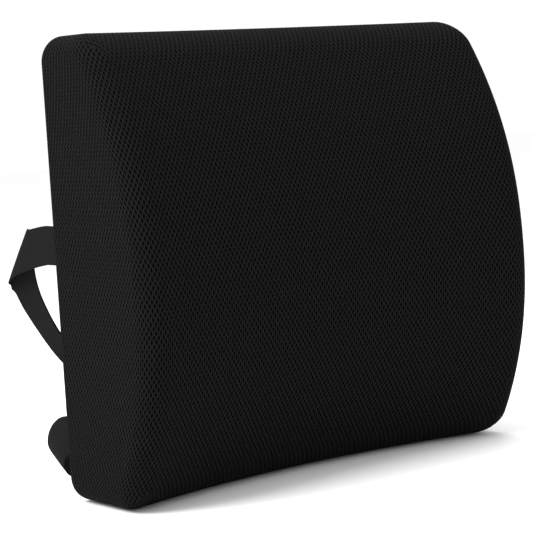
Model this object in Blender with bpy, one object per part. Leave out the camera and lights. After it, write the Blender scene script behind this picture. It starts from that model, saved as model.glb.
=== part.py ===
"""Lumbar support cushion: a wedge of memory foam in a zipped cover, with two buckled elastic straps.

Metres, +Z up. The cushion stands on its lower face at z = 0, with the face a person leans on towards
-Y and its flat back towards +Y. The origin is on the lower face, in the middle of the width.
"""

import math

import bmesh
import bpy
from mathutils import Matrix, Vector

# ---------------------------------------------------------------- driving dimensions

GAP = 0.0003

WIDTH = 0.364
HEIGHT = 0.330
BACK_Y = 0.020
CORNER_RADIUS = 0.0185
FRONT_EDGE_RADIUS = 0.0186
BACK_EDGE_RADIUS = 0.006

WING_DEPTH_BOTTOM = 0.077
WING_DEPTH_TOP = 0.056
WING_BULGE = 0.0495
WING_BULGE_POWER = 2.2
RECESS_BOTTOM = 0.025
RECESS_TOP = 0.016

COVER_THICKNESS = 0.0025
LINER_OFFSET = 0.0030
LINER_THICKNESS = 0.0010
FOAM_OFFSET = 0.0045
LINER_SLIT = (0.240, 0.010, 0.008)

CORNER_SEGMENTS = 3
SIDE_SEGMENTS = 10
FRONT_INSETS = (0.045, 0.080, 0.120, 0.155)

BINDING_INSETS = (0.0075, 0.0125)
BINDING_THICKNESS = 0.0010
PANEL_RISE = 0.0015
PANEL_STEP = 0.0006
LABEL = (0.030, 0.062, 0.084)

ZIP_Z = 0.112
ZIP_HALF_SLOT = 0.0135
ZIP_TAPE_INNER = 0.0035
ZIP_TAPE_DEPTHS = (-0.0017, -0.0007)
ZIP_TEETH_DEPTHS = (-0.0019, -0.0005)
ZIP_TEETH_START = -0.138
ZIP_TEETH_COUNT = 47
ZIP_TOOTH_PITCH = 0.006
ZIP_TOOTH_WIDTH = 0.0026
ZIP_SLIDER_X = -0.146
ZIP_STOP_X = (-0.1550, 0.1520)

STRAP_WIDTH = 0.028
STRAP_THICKNESS = 0.0016
TAIL_LENGTH = 0.050
TAIL_LIFT = 0.0009
KEEPER_REACH = 0.032
KEEPER_LENGTH = 0.008
KEEPER_WALL = 0.0010

# Each strap leaves the back seam, folds over behind the cushion and sags to its buckle in the middle.
# The points are (distance from the middle, distance behind the back, height, lean), where lean is
# how many degrees the line across the web leans backwards. The lower strap comes to lie on the floor.
STRAP_ROUTES = {
    "upper": (
        (0.1760, 0.0160, 0.1830, 0.0),
        (0.1760, 0.0265, 0.1816, -8.0),
        (0.1760, 0.0375, 0.1796, -20.0),
        (0.1760, 0.0485, 0.1772, -32.0),
        (0.1752, 0.0565, 0.1750, -38.0),
        (0.1726, 0.0622, 0.1720, -40.0),
        (0.1692, 0.0652, 0.1680, -41.0),
        (0.1670, 0.0667, 0.1622, -45.0),
        (0.1656, 0.0672, 0.1552, -51.0),
        (0.1642, 0.0668, 0.1475, -59.0),
        (0.1622, 0.0655, 0.1393, -68.0),
        (0.1590, 0.0636, 0.1303, -77.0),
        (0.1546, 0.0618, 0.1204, -83.0),
        (0.1484, 0.0610, 0.1100, -84.0),
        (0.1395, 0.0622, 0.0997, -78.0),
        (0.1270, 0.0655, 0.0900, -67.0),
        (0.1110, 0.0700, 0.0816, -55.0),
        (0.0930, 0.0742, 0.0752, -44.0),
        (0.0750, 0.0765, 0.0713, -36.0),
        (0.0580, 0.0770, 0.0700, -31.0),
        (0.0350, 0.0770, 0.0698, -30.0),
        (0.0000, 0.0770, 0.0698, -30.0),
    ),
    "lower": (
        (0.1760, 0.0050, 0.0470, 0.0),
        (0.1760, 0.0098, 0.0458, 7.0),
        (0.1760, 0.0150, 0.0430, 18.0),
        (0.1760, 0.0196, 0.0389, 31.0),
        (0.1754, 0.0232, 0.0339, 43.0),
        (0.1738, 0.0257, 0.0287, 52.0),
        (0.1707, 0.0272, 0.0242, 57.0),
        (0.1660, 0.0282, 0.0209, 59.0),
        (0.1595, 0.0293, 0.0186, 60.0),
        (0.1495, 0.0308, 0.0169, 61.0),
        (0.1355, 0.0331, 0.0151, 64.0),
        (0.1180, 0.0357, 0.0135, 68.0),
        (0.1000, 0.0380, 0.0123, 72.0),
        (0.0820, 0.0394, 0.0117, 74.0),
        (0.0580, 0.0400, 0.0115, 75.0),
        (0.0350, 0.0400, 0.0115, 75.0),
        (0.0000, 0.0400, 0.0115, 75.0),
    ),
}
ROUTE_STEPS = 3

# Side-release buckle, in its own frame: u along the strap from the mouth of the socket towards the
# plug, v across the strap, n through its thickness.
BUCKLE_HALF_WIDTH = 0.0190
BUCKLE_HALF_THICKNESS = 0.0055
SOCKET_LENGTH = 0.0340
SOCKET_CAVITY = 0.0240
SOCKET_WALL = 0.0025
SOCKET_SIDE_WALL = 0.0026
WINDOW = (-0.0205, -0.0095)
BAR = 0.0030
SLOT = 0.0026
FOLD_WALL = 0.0016
PLUG_LENGTH = 0.0205
PLUG_HALF_THICKNESS = 0.0045
PRONG_ROOT = -0.0010
PRONG_TIP = -0.0205
PRONG_INNER = 0.0092
PRONG_WIDTH = 0.0036
PRONG_HALF_THICKNESS = 0.0022
BARB_REACH = 0.0182
SLACK_END = 0.0580

# ---------------------------------------------------------------- scene and materials


def clear_scene():
    for existing in list(bpy.data.objects):
        bpy.data.objects.remove(existing, do_unlink=True)


def make_material(name, colour, roughness, metallic=0.0):
    material = bpy.data.materials.new(name)
    material.use_nodes = True
    shader = material.node_tree.nodes["Principled BSDF"]
    shader.inputs["Base Color"].default_value = (*colour, 1.0)
    shader.inputs["Roughness"].default_value = roughness
    shader.inputs["Metallic"].default_value = metallic
    return material


def make_materials():
    return {
        "mesh": make_material("black_air_mesh", (0.012, 0.012, 0.013), 0.85),
        "back": make_material("black_back_cloth", (0.014, 0.014, 0.015), 0.9),
        "binding": make_material("black_binding_tape", (0.016, 0.016, 0.017), 0.8),
        "foam": make_material("memory_foam", (0.78, 0.74, 0.62), 0.9),
        "liner": make_material("white_liner_knit", (0.72, 0.72, 0.70), 0.9),
        "webbing": make_material("dark_grey_elastic", (0.022, 0.022, 0.024), 0.75),
        "plastic": make_material("black_acetal", (0.013, 0.013, 0.014), 0.42),
        "metal": make_material("dark_zinc", (0.10, 0.10, 0.11), 0.35, 1.0),
        "label": make_material("white_label_satin", (0.70, 0.70, 0.69), 0.6),
    }


def add_object(name, mesh, material):
    """Link a mesh as a named sub-part, shaded smooth except across its sharp edges."""
    mesh.materials.append(material)
    mesh.shade_smooth()
    mesh.set_sharp_from_angle(angle=math.radians(35.0))
    part = bpy.data.objects.new(name, mesh)
    bpy.context.scene.collection.objects.link(part)
    return part


def finish_mesh(name, bm):
    bmesh.ops.recalc_face_normals(bm, faces=bm.faces)
    mesh = bpy.data.meshes.new(name)
    bm.to_mesh(mesh)
    bm.free()
    return mesh


# ---------------------------------------------------------------- shape helpers


def lofted_body(name, rings, closed_loop=False):
    """Join equal rings of points with faces, capped at both ends or closed into a loop."""
    bm = bmesh.new()
    loops = [[bm.verts.new(point) for point in ring] for ring in rings]
    count = len(rings[0])
    pairs = list(zip(loops, loops[1:]))
    if closed_loop:
        pairs.append((loops[-1], loops[0]))
    for first, second in pairs:
        for i in range(count):
            j = (i + 1) % count
            bm.faces.new((first[i], first[j], second[j], second[i]))
    if not closed_loop:
        bm.faces.new(loops[0])
        bm.faces.new(loops[-1])
    return finish_mesh(name, bm)


def extruded_outline(name, outline, holes, low, high, place):
    """Extrude a flat outline with holes; place(a, b, h) turns outline and height into a point."""
    bm = bmesh.new()
    edges = []
    for loop in [outline, *holes]:
        verts = [bm.verts.new(place(a, b, low)) for a, b in loop]
        for i, vert in enumerate(verts):
            edges.append(bm.edges.new((vert, verts[(i + 1) % len(verts)])))
    bmesh.ops.triangle_fill(bm, edges=edges, use_beauty=True)
    shift = Vector(place(0.0, 0.0, high)) - Vector(place(0.0, 0.0, low))
    top = bmesh.ops.extrude_face_region(bm, geom=list(bm.faces))["geom"]
    bmesh.ops.translate(bm, vec=shift, verts=[v for v in top if isinstance(v, bmesh.types.BMVert)])
    return finish_mesh(name, bm)


def box_outline(low_a, high_a, low_b, high_b):
    return [(low_a, low_b), (high_a, low_b), (high_a, high_b), (low_a, high_b)]


def rounded_box_outline(low_a, high_a, low_b, high_b, radius, segments):
    """Rectangle with round corners, anticlockwise from the corner at high_a, high_b."""
    centres = (
        (high_a - radius, high_b - radius, 0.0),
        (low_a + radius, high_b - radius, 90.0),
        (low_a + radius, low_b + radius, 180.0),
        (high_a - radius, low_b + radius, 270.0),
    )
    points = []
    for centre_a, centre_b, start in centres:
        for step in range(segments + 1):
            angle = math.radians(start + 90.0 * step / segments)
            points.append((centre_a + radius * math.cos(angle), centre_b + radius * math.sin(angle)))
    return points


def back_place(x, z, depth):
    """A point on the flat back: depth is measured outwards from the back plane."""
    return (x, BACK_Y + depth, z)


# ---------------------------------------------------------------- cushion form


def cushion_depth(x, z):
    """Depth of the cushion from its back plane: D-shaped upright, hollowed between the two wings."""
    up = min(max(z / HEIGHT, 0.0), 1.0)
    across = min(abs(x) / (WIDTH / 2), 1.0)
    wing = WING_DEPTH_BOTTOM + (WING_DEPTH_TOP - WING_DEPTH_BOTTOM) * up
    wing += WING_BULGE * (1.0 - abs(2.0 * up - 1.0) ** WING_BULGE_POWER)
    recess = RECESS_BOTTOM + (RECESS_TOP - RECESS_BOTTOM) * up
    return wing - recess * (1.0 - across * across)


def cushion_outline(inset):
    """Front view outline of the cushion, moved inwards, as (x, z) points with even sides."""
    half_width = WIDTH / 2 - inset
    half_height = HEIGHT / 2 - inset
    radius = max(CORNER_RADIUS - inset, 0.004)
    corners = rounded_box_outline(
        -half_width, half_width, HEIGHT / 2 - half_height, HEIGHT / 2 + half_height, radius, CORNER_SEGMENTS
    )
    points = []
    per_corner = CORNER_SEGMENTS + 1
    for corner in range(4):
        arc = corners[corner * per_corner : (corner + 1) * per_corner]
        following = corners[((corner + 1) * per_corner) % len(corners)]
        points.extend(arc)
        start = Vector(arc[-1])
        run = Vector(following) - start
        for step in range(1, SIDE_SEGMENTS):
            points.append(tuple(start + run * (step / SIDE_SEGMENTS)))
    return points


def cushion_rings(offset):
    """Rings of points from the back plane round to the middle of the front, offset inwards."""
    rings = []
    back_radius = BACK_EDGE_RADIUS - offset
    for angle in (0.0, 45.0, 90.0):
        inset = offset + back_radius * (1.0 - math.sin(math.radians(angle)))
        y = BACK_Y - offset - back_radius * (1.0 - math.cos(math.radians(angle)))
        rings.append([(x, y, z) for x, z in cushion_outline(inset)])
    front_radius = FRONT_EDGE_RADIUS - offset
    for angle in (0.0, 30.0, 60.0, 90.0):
        inset = offset + front_radius * (1.0 - math.cos(math.radians(angle)))
        lift = front_radius * (1.0 - math.sin(math.radians(angle)))
        outline = cushion_outline(inset)
        rings.append([(x, BACK_Y - cushion_depth(x, z) + offset + lift, z) for x, z in outline])
    for inset in FRONT_INSETS:
        outline = cushion_outline(inset)
        rings.append([(x, BACK_Y - cushion_depth(x, z) + offset, z) for x, z in outline])
    return rings


def build_foam_core(materials):
    mesh = lofted_body("foam_core", cushion_rings(FOAM_OFFSET))
    add_object("foam_core", mesh, materials["foam"])


def build_inner_liner(materials):
    """A closed knitted bag round the foam, with the slit that the foam goes in through."""
    outer = cushion_rings(LINER_OFFSET)
    inner = cushion_rings(LINER_OFFSET + LINER_THICKNESS)
    slit_width, slit_height, slit_depth = LINER_SLIT
    bm = bmesh.new()
    bmesh.ops.create_cube(bm, size=1.0)
    bmesh.ops.scale(bm, vec=(slit_width, slit_depth, slit_height), verts=bm.verts)
    bmesh.ops.translate(bm, vec=(0.0, BACK_Y, ZIP_Z), verts=bm.verts)
    cutter = add_object("liner_slit_cutter", finish_mesh("liner_slit_cutter", bm), materials["liner"])
    cutter.hide_render = True
    cutter.display_type = "WIRE"
    mesh = bpy.data.meshes.new("inner_liner")
    bm = bmesh.new()
    for rings, outwards in ((outer, True), (inner, False)):
        shell = lofted_body("liner_wall", rings)
        bm_shell = bmesh.new()
        bm_shell.from_mesh(shell)
        if not outwards:
            bmesh.ops.reverse_faces(bm_shell, faces=bm_shell.faces)
        bm_shell.to_mesh(shell)
        bm_shell.free()
        bm.from_mesh(shell)
        bpy.data.meshes.remove(shell)
    bm.to_mesh(mesh)
    bm.free()
    liner = add_object("inner_liner", mesh, materials["liner"])
    slit = liner.modifiers.new("slit", "BOOLEAN")
    slit.operation = "DIFFERENCE"
    slit.solver = "EXACT"
    slit.object = cutter


def build_cover_front(materials):
    """Front and side panels of the cover, one tub that is open at the back."""
    outer = cushion_rings(0.0)
    inner = cushion_rings(COVER_THICKNESS)
    mesh = lofted_body("cover_front", list(reversed(outer)) + inner)
    add_object("cover_front", mesh, materials["mesh"])


def panel_outline(edge, zip_gap, upper):
    """One back panel's outline: `edge` is its inset from the cushion, `zip_gap` from the zip."""
    half = WIDTH / 2 - edge
    low, high = (ZIP_Z + zip_gap, HEIGHT - edge) if upper else (edge, ZIP_Z - zip_gap)
    full = rounded_box_outline(-half, half, low, high, CORNER_RADIUS - edge, CORNER_SEGMENTS)
    arcs = 2 * (CORNER_SEGMENTS + 1)
    if upper:
        return [*full[:arcs], (-half, low), (half, low)]
    return [(half, high), (-half, high), *full[arcs:]]


def build_back_panels(materials):
    """The back of the cover, in two pieces above and below the zip, each a little proud of its edge."""
    outer = (BACK_EDGE_RADIUS + GAP, ZIP_HALF_SLOT)
    foot = (BINDING_INSETS[1] + PANEL_STEP, ZIP_HALF_SLOT + 2 * PANEL_STEP)
    top = (foot[0] + PANEL_STEP, foot[1] + PANEL_STEP)
    steps = ((outer, -COVER_THICKNESS), (outer, 0.0), (foot, 0.0), (top, PANEL_RISE))
    for name, upper in (("back_panel_lower", False), ("back_panel_upper", True)):
        rings = [
            [back_place(x, z, depth) for x, z in panel_outline(*inset, upper)]
            for inset, depth in steps
        ]
        add_object(name, lofted_body(name, rings), materials["back"])


def build_edge_binding(materials):
    """Woven tape over the seam between the tub and the back panels."""
    loops = []
    for inset in BINDING_INSETS:
        loops.append(
            rounded_box_outline(
                inset - WIDTH / 2, WIDTH / 2 - inset, inset, HEIGHT - inset, CORNER_RADIUS - inset, 4
            )
        )
    mesh = extruded_outline(
        "edge_binding", loops[0], [loops[1]], GAP, GAP + BINDING_THICKNESS, back_place
    )
    add_object("edge_binding", mesh, materials["binding"])


def build_care_label(materials):
    """A blank satin label that leaves the seam beside the binding tape, on the lower panel."""
    length, low, high = LABEL
    outer = WIDTH / 2 - BINDING_INSETS[1] - 2 * PANEL_STEP - GAP
    outline = box_outline(outer - length, outer, low, high)
    face = PANEL_RISE + GAP
    mesh = extruded_outline("care_label", outline, [], face, face + 0.0006, back_place)
    add_object("care_label", mesh, materials["label"])


# ---------------------------------------------------------------- zip


def build_zip_tapes(materials):
    half = WIDTH / 2 - BACK_EDGE_RADIUS - GAP
    for name, side in (("zip_tape_upper", 1.0), ("zip_tape_lower", -1.0)):
        near = ZIP_Z + side * ZIP_TAPE_INNER
        far = ZIP_Z + side * (ZIP_HALF_SLOT - GAP)
        outline = box_outline(-half, half, min(near, far), max(near, far))
        mesh = extruded_outline(name, outline, [], *ZIP_TAPE_DEPTHS, back_place)
        add_object(name, mesh, materials["binding"])


def build_zip_teeth(materials):
    """Two combs whose teeth lie between each other's along the middle of the zip."""
    length = ZIP_TEETH_COUNT * ZIP_TOOTH_PITCH
    tip = -0.0012
    root = 0.0018
    edge = ZIP_TAPE_INNER - GAP
    for name, side, phase in (("zip_teeth_upper", 1.0, 0.0), ("zip_teeth_lower", -1.0, 0.5)):
        outline = [
            (ZIP_TEETH_START + length, ZIP_Z + side * edge),
            (ZIP_TEETH_START, ZIP_Z + side * edge),
            (ZIP_TEETH_START, ZIP_Z + side * root),
        ]
        for tooth in range(ZIP_TEETH_COUNT - 1):
            centre = ZIP_TEETH_START + ZIP_TOOTH_PITCH * (tooth + 0.6 + phase)
            left = centre - ZIP_TOOTH_WIDTH / 2
            right = centre + ZIP_TOOTH_WIDTH / 2
            outline.append((left, ZIP_Z + side * root))
            outline.append((left, ZIP_Z + side * tip))
            outline.append((right, ZIP_Z + side * tip))
            outline.append((right, ZIP_Z + side * root))
        outline.append((ZIP_TEETH_START + length, ZIP_Z + side * root))
        mesh = extruded_outline(name, outline, [], *ZIP_TEETH_DEPTHS, back_place)
        add_object(name, mesh, materials["plastic"])


def build_zip_ends(materials):
    """Stops that the slider meets, and the sewn patches that close the slot beyond them."""
    for name, x in zip(("zip_stop_closed", "zip_stop_open"), ZIP_STOP_X):
        outline = box_outline(x - 0.0015, x + 0.0015, ZIP_Z - 0.0030, ZIP_Z + 0.0030)
        mesh = extruded_outline(name, outline, [], *ZIP_TEETH_DEPTHS, back_place)
        add_object(name, mesh, materials["metal"])
    half = WIDTH / 2 - BINDING_INSETS[1] - GAP
    for name, side in (("zip_end_patch_left", -1.0), ("zip_end_patch_right", 1.0)):
        near = side * 0.1590
        far = side * half
        outline = box_outline(min(near, far), max(near, far), ZIP_Z - 0.0110, ZIP_Z + 0.0110)
        mesh = extruded_outline(name, outline, [], GAP, GAP + 0.0009, back_place)
        add_object(name, mesh, materials["binding"])


def build_zip_slider(materials):
    """Two plates joined by the post that parts the teeth, with a bridge that holds the pull."""

    def side_place(x, depth, z):
        return (ZIP_SLIDER_X + x, BACK_Y + depth, ZIP_Z + z)

    half = 0.0050
    post = (-0.0038, -0.0014)
    outline = [
        (-half, -0.0028),
        (half, -0.0028),
        (half, -0.0022),
        (post[1], -0.0022),
        (post[1], -0.0002),
        (half, -0.0002),
        (half, 0.0009),
        (-half, 0.0009),
        (-half, -0.0002),
        (post[0], -0.0002),
        (post[0], -0.0022),
        (-half, -0.0022),
    ]
    core = extruded_outline("zip_slider", outline, [], -0.0010, 0.0010, side_place)
    slider = add_object("zip_slider", core, materials["metal"])
    slider_parts = {
        "zip_slider_top": (box_outline(-half, half, -0.0002, 0.0009), 0.0042),
        "zip_slider_bottom": (box_outline(-half, half, -0.0028, -0.0022), 0.0038),
    }
    helpers = []
    for name, (plate, reach) in slider_parts.items():
        helpers.append((name, extruded_outline(name, plate, [], -reach, reach, side_place)))
    arch = rounded_box_outline(-0.0036, 0.0036, 0.0004, 0.0037, 0.0010, 2)
    hole = box_outline(-0.0026, 0.0026, 0.0009, 0.0028)
    bridge = extruded_outline("zip_bridge", arch, [hole], -0.0008, 0.0008, side_place)
    helpers.append(("zip_bridge", bridge))
    for name, mesh in helpers:
        helper = add_object(name + "_union", mesh, materials["metal"])
        helper.hide_render = True
        helper.display_type = "WIRE"
        union = slider.modifiers.new(name, "BOOLEAN")
        union.operation = "UNION"
        union.solver = "EXACT"
        union.object = helper


def build_zip_pull(materials):
    """Flat pull whose end bar runs through the slider's bridge; it turns about that bar."""

    def pull_place(x, z, depth):
        return (x, depth, z)

    outer = [
        (-0.0006, -0.0034),
        (0.0075, -0.0034),
        (0.0235, -0.0026),
        (0.0245, -0.0016),
        (0.0245, 0.0016),
        (0.0235, 0.0026),
        (0.0075, 0.0034),
        (-0.0006, 0.0034),
    ]
    hole = box_outline(0.0006, 0.0056, -0.0014, 0.0014)
    grip = box_outline(0.0160, 0.0215, -0.0011, 0.0011)
    mesh = extruded_outline("zip_pull", outer, [hole, grip], -0.0006, 0.0006, pull_place)
    pull = add_object("zip_pull", mesh, materials["metal"])
    pull.location = (ZIP_SLIDER_X, BACK_Y + 0.00185, ZIP_Z)


# ---------------------------------------------------------------- straps


def smooth_route(points, steps):
    """Catmull-Rom curve through the points, with straight continuations at both ends."""
    padded = [points[0] * 2 - points[1], *points, points[-1] * 2 - points[-2]]
    curve = []
    for i in range(1, len(padded) - 2):
        before, start, end, after = padded[i - 1 : i + 3]
        for step in range(steps):
            t = step / steps
            curve.append(
                0.5
                * (
                    start * 2
                    + (end - before) * t
                    + (before * 2 - start * 5 + end * 4 - after) * t**2
                    + (start * 3 - before - end * 3 + after) * t**3
                )
            )
    curve.append(padded[-2])
    return curve


def make_frame(centre, along, lean, side):
    """Centre, direction, across and outward vectors of the web, for the -X or +X half.

    The across vector may lie aslant to the web's edges, so it is longer where it does.
    """
    across = Vector((0.0, math.sin(math.radians(lean)), math.cos(math.radians(lean))))
    outwards = along.cross(across)
    across /= outwards.length
    return (centre, along, across, outwards.normalized() * side, lean)


def strap_frames(route, side):
    """Frames along one half of a strap, from its root at the cushion to the middle."""
    curve = smooth_route([Vector(point) for point in route], ROUTE_STEPS)
    centres = [Vector((side * x, BACK_Y + behind, z)) for x, behind, z, _ in curve]
    frames = []
    for i, centre in enumerate(centres):
        along = (centres[min(i + 1, len(centres) - 1)] - centres[max(i - 1, 0)]).normalized()
        frames.append(make_frame(centre, along, curve[i][3], side))
    return frames


def frame_at(frames, reach):
    """Interpolated frame where the strap is `reach` metres from the middle of the cushion."""
    side = math.copysign(1.0, frames[0][0].x)
    for first, second in zip(frames, frames[1:]):
        x0 = abs(first[0].x)
        x1 = abs(second[0].x)
        if x1 <= reach <= x0 and x0 > x1:
            t = (x0 - reach) / (x0 - x1)
            centre = first[0].lerp(second[0], t)
            along = first[1].lerp(second[1], t).normalized()
            return make_frame(centre, along, first[4] + (second[4] - first[4]) * t, side)
    return frames[-1]


def frames_between(frames, far, near):
    """Frames from one distance from the middle to a smaller one, with exact ends."""
    inner = [frame for frame in frames if near + 0.002 < abs(frame[0].x) < far - 0.0015]
    return [frame_at(frames, far), *inner, frame_at(frames, near)]


def frames_from_root(frames, near):
    inner = [frame for frame in frames if near + 0.002 < abs(frame[0].x)]
    return [*inner, frame_at(frames, near)]


def ribbon(name, frames, low, high, half_width, material):
    """Sweep a flat strip along frames; low and high are its faces, measured outwards from the web."""
    rings = []
    for centre, _, across, outwards, _ in frames:
        rings.append(
            [
                centre + across * half_width + outwards * high,
                centre - across * half_width + outwards * high,
                centre - across * half_width + outwards * low,
                centre + across * half_width + outwards * low,
            ]
        )
    return add_object(name, lofted_body(name, rings), material)


def build_strap_webs(prefix, route, materials):
    half = STRAP_THICKNESS / 2
    reach = STRAP_WIDTH / 2
    web = materials["webbing"]
    root_x, stub, root_z, _ = route[0]
    for side_name, side in (("left", -1.0), ("right", 1.0)):
        x = side * root_x
        outline = box_outline(x - half, x + half, root_z - reach, root_z + reach)
        name = f"{prefix}_anchor_{side_name}"
        mesh = extruded_outline(name, outline, [], GAP, stub - GAP, back_place)
        add_object(name, mesh, web)

    left = strap_frames(route, -1.0)
    socket_end = SOCKET_LENGTH + FOLD_WALL + 2 * GAP
    ribbon(f"{prefix}_web_left", frames_from_root(left, socket_end), -half, half, reach, web)

    right = strap_frames(route, 1.0)
    ribbon(f"{prefix}_web_right", frames_from_root(right, SLACK_END), -half, half, reach, web)

    slack_start = PLUG_LENGTH + FOLD_WALL + 2 * GAP
    tail_low = half + TAIL_LIFT
    tail_high = tail_low + STRAP_THICKNESS
    slack = frames_between(right, SLACK_END - GAP, slack_start)
    ribbon(f"{prefix}_web_slack", slack, -half, tail_high, reach, web)
    tail = frames_between(right, SLACK_END + TAIL_LENGTH, SLACK_END)
    ribbon(f"{prefix}_web_tail", tail, tail_low, tail_high, reach - 0.0006, web)
    build_keeper(prefix, right, tail_high, materials)


def build_keeper(prefix, frames, tail_high, materials):
    """A narrow elastic loop that holds the tail against the strap."""
    centre, along, across, outwards, _ = frame_at(frames, SLACK_END + KEEPER_REACH)
    low = -STRAP_THICKNESS / 2 - 2 * GAP
    high = tail_high + 2 * GAP
    reach = STRAP_WIDTH / 2 + 2 * GAP

    def keeper_place(v, n, u):
        return centre + across * v + outwards * n + along * u

    wall = KEEPER_WALL
    outer = box_outline(-reach - wall, reach + wall, low - wall, high + wall)
    hole = box_outline(-reach, reach, low, high)
    name = f"{prefix}_keeper"
    half = KEEPER_LENGTH / 2
    mesh = extruded_outline(name, outer, [hole], -half, half, keeper_place)
    add_object(name, mesh, materials["webbing"])


# ---------------------------------------------------------------- buckle


def buckle_matrix(route):
    """Buckle frame to world: u is +X, v leans back as the web does there, n faces the cushion."""
    _, behind, z, lean = route[-1]
    tilt = math.radians(lean)
    across = Vector((0.0, math.sin(tilt), math.cos(tilt)))
    inwards = Vector((0.0, -math.cos(tilt), math.sin(tilt)))
    matrix = Matrix.Identity(4)
    matrix.col[0] = (1.0, 0.0, 0.0, 0.0)
    matrix.col[1] = (*across, 0.0)
    matrix.col[2] = (*inwards, 0.0)
    matrix.col[3] = (0.0, BACK_Y + behind, z, 1.0)
    return matrix


def flat_place(u, v, n):
    return (u, v, n)


def across_place(u, n, v):
    return (u, v, n)


def subtract(target, name, mesh, material):
    """Cut one closed shape out of an object, in the object's own frame."""
    cutter = add_object(name, mesh, material)
    cutter.matrix_world = target.matrix_world.copy()
    cutter.hide_render = True
    cutter.display_type = "WIRE"
    cut = target.modifiers.new(name, "BOOLEAN")
    cut.operation = "DIFFERENCE"
    cut.solver = "EXACT"
    cut.object = cutter


def build_socket(prefix, matrix, materials):
    """Hollow half of the buckle: mouth at u = 0, side windows for the barbs, bar at the far end."""
    plastic = materials["plastic"]
    name = f"{prefix}_socket"
    half_width = BUCKLE_HALF_WIDTH
    body = rounded_box_outline(-SOCKET_LENGTH, 0.0, -half_width, half_width, 0.0030, 3)
    thickness = BUCKLE_HALF_THICKNESS
    socket = add_object(name, extruded_outline(name, body, [], -thickness, thickness, flat_place), plastic)
    socket.matrix_world = matrix
    inner = half_width - SOCKET_SIDE_WALL
    inside = thickness - SOCKET_WALL
    past = 0.002
    cavity = box_outline(-SOCKET_CAVITY, past, -inner, inner)
    subtract(socket, f"{name}_cavity", extruded_outline("cavity", cavity, [], -inside, inside, flat_place), plastic)
    window = box_outline(WINDOW[0], WINDOW[1], -half_width - past, half_width + past)
    windows = extruded_outline("windows", window, [], -inside, inside, flat_place)
    subtract(socket, f"{name}_windows", windows, plastic)
    slot_far = BAR - SOCKET_LENGTH
    slot = box_outline(slot_far, slot_far + SLOT, -STRAP_WIDTH / 2 - 0.0006, STRAP_WIDTH / 2 + 0.0006)
    slots = extruded_outline("slot", slot, [], -thickness - past, thickness + past, flat_place)
    subtract(socket, f"{name}_slot", slots, plastic)
    for face, low, high in (
        ("back", BUCKLE_HALF_THICKNESS - 0.0026, thickness + past),
        ("front", -thickness - past, 0.0026 - BUCKLE_HALF_THICKNESS),
    ):
        notch = box_outline(-SOCKET_LENGTH - past, slot_far + 0.0005, slot[0][1], slot[2][1])
        notches = extruded_outline("notch", notch, [], low, high, flat_place)
        subtract(socket, f"{name}_notch_{face}", notches, plastic)


def build_fold(prefix, name, near, matrix, materials):
    """Webbing folded round a buckle bar and sewn to itself, near its inner side at `near`."""
    reach = STRAP_WIDTH / 2
    bar_half = BUCKLE_HALF_THICKNESS - 0.0026
    low = near
    high = near + FOLD_WALL + BAR + 2 * GAP + FOLD_WALL
    outer = box_outline(low, high, -bar_half - GAP - FOLD_WALL, bar_half + GAP + FOLD_WALL)
    hole = box_outline(low + FOLD_WALL, high - FOLD_WALL, -bar_half - GAP, bar_half + GAP)
    full = f"{prefix}_{name}"
    fold = add_object(
        full, extruded_outline(full, outer, [hole], -reach, reach, across_place), materials["webbing"]
    )
    fold.matrix_world = matrix


def build_plug(prefix, matrix, materials):
    """Body of the plug: guide tongue in the middle, a web slot and an end bar behind it."""
    plastic = materials["plastic"]
    name = f"{prefix}_plug"
    half_width = BUCKLE_HALF_WIDTH
    outline = [
        (GAP, 0.0026),
        (GAP, half_width),
        (PLUG_LENGTH, half_width - 0.0015),
        (PLUG_LENGTH, 0.0015 - half_width),
        (GAP, -half_width),
        (GAP, -0.0026),
        (-0.0185, -0.0026),
        (-0.0195, -0.0016),
        (-0.0195, 0.0016),
        (-0.0185, 0.0026),
    ]
    slot_far = PLUG_LENGTH - BAR
    half_slot = STRAP_WIDTH / 2 + 0.0006
    slot = box_outline(slot_far - SLOT, slot_far, -half_slot, half_slot)
    half = PRONG_HALF_THICKNESS
    plug = add_object(name, extruded_outline(name, outline, [slot], -half, half, flat_place), plastic)
    plug.matrix_world = matrix
    thick_outline = box_outline(GAP, slot_far - SLOT, -half_width + 0.0004, half_width - 0.0004)
    shoulder = extruded_outline(
        "shoulder", thick_outline, [], -PLUG_HALF_THICKNESS, PLUG_HALF_THICKNESS, flat_place
    )
    helper = add_object(f"{name}_shoulder", shoulder, plastic)
    helper.matrix_world = matrix
    helper.hide_render = True
    helper.display_type = "WIRE"
    union = plug.modifiers.new("shoulder", "BOOLEAN")
    union.operation = "UNION"
    union.solver = "EXACT"
    union.object = helper


def build_prongs(prefix, matrix, materials):
    """Two arms that spring into the socket's windows; each bends inwards about its root."""
    outer = PRONG_INNER + PRONG_WIDTH
    for side_name, side in (("upper", 1.0), ("lower", -1.0)):
        outline = [
            (-GAP, side * PRONG_INNER),
            (-GAP, side * outer),
            (WINDOW[1] - 0.0012, side * outer),
            (WINDOW[1] - 0.0012, side * BARB_REACH),
            (-0.0135, side * BARB_REACH),
            (PRONG_TIP + 0.0008, side * (outer + 0.0004)),
            (PRONG_TIP, side * (outer - 0.0006)),
            (PRONG_TIP, side * (PRONG_INNER + 0.0008)),
            (PRONG_TIP + 0.0008, side * PRONG_INNER),
        ]
        name = f"{prefix}_prong_{side_name}"
        half = PRONG_HALF_THICKNESS
        mesh = extruded_outline(name, outline, [], -half, half, flat_place)
        root = Vector((PRONG_ROOT, side * (PRONG_INNER + PRONG_WIDTH / 2), 0.0))
        mesh.transform(Matrix.Translation(-root))
        prong = add_object(name, mesh, materials["plastic"])
        prong.matrix_world = matrix @ Matrix.Translation(root)


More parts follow.
